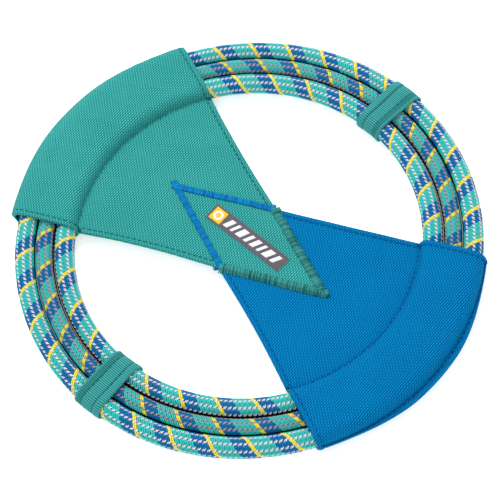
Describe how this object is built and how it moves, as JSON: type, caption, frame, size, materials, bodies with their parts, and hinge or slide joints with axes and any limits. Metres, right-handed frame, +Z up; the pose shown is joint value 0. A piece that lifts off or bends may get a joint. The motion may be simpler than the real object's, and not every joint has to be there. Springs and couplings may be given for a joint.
{
  "type": "flying ring",
  "caption": "Soft flying ring of coloured braided rope, bound by two crossed fabric wings with a sewn point at the centre and by sliding fabric bands.",
  "frame": {"origin": "on the ground plane, under the centre of the rope rings, which is also the bottom centre of the box", "axes": "+Z up through the ring as it lies flat, +X along the wings from the green wing to the blue wing, +Y towards the left keeper band"},
  "size_m": [0.247, 0.2381, 0.0134],
  "materials": {
    "rope_braid": "braided sheath: turquoise, blue, yellow and white strands, with a slight sheen",
    "middle_rope_braid": "braided sheath: turquoise, blue, yellow and grey-pink strands",
    "rope_core": "undyed twisted fibre core",
    "splice_tape": "matt woven tape wrapped round the rope's joined ends",
    "green_fabric": "coarse woven pack cloth, matt",
    "blue_fabric": "coarse woven pack cloth, matt",
    "green_thread": "sewing thread with a slight sheen",
    "blue_thread": "sewing thread with a slight sheen",
    "label_cloth": "smooth woven label, charcoal with an amber end"
  },
  "bodies": {
    "ring": {"outer_rope_sheath": "rope_braid", "outer_rope_core": "rope_core", "outer_rope_splice": "splice_tape", "middle_rope_sheath": "middle_rope_braid", "middle_rope_core": "rope_core", "middle_rope_splice": "splice_tape", "inner_rope_sheath": "rope_braid", "inner_rope_core": "rope_core", "inner_rope_splice": "splice_tape", "green_top_panel": "green_fabric", "green_bottom_panel": "green_fabric", "blue_top_panel": "blue_fabric", "blue_bottom_panel": "blue_fabric", "green_edge_stitches": "green_thread", "green_channel_stitches": "green_thread", "green_rim_stitches": "green_thread", "green_point_satin": "green_thread", "blue_edge_stitches": "blue_thread", "blue_channel_stitches": "blue_thread", "blue_rim_stitches": "blue_thread", "blue_point_satin": "blue_thread", "label": "label_cloth"},
    "left_band": {"left_keeper_band": "green_fabric", "left_band_stitches": "green_thread"},
    "right_band": {"right_keeper_band": "green_fabric", "right_band_stitches": "green_thread"}
  },
  "joints": [
    {"name": "left_band_slide", "type": "hinge", "parent": "ring", "child": "left_band", "pos_m": [0, 0, 0.0067], "axis": [0, 0, 1], "range_deg": [-44, 52]},
    {"name": "right_band_slide", "type": "hinge", "parent": "ring", "child": "right_band", "pos_m": [0, 0, 0.0067], "axis": [0, 0, 1], "range_deg": [-48, 48]}
  ]
}
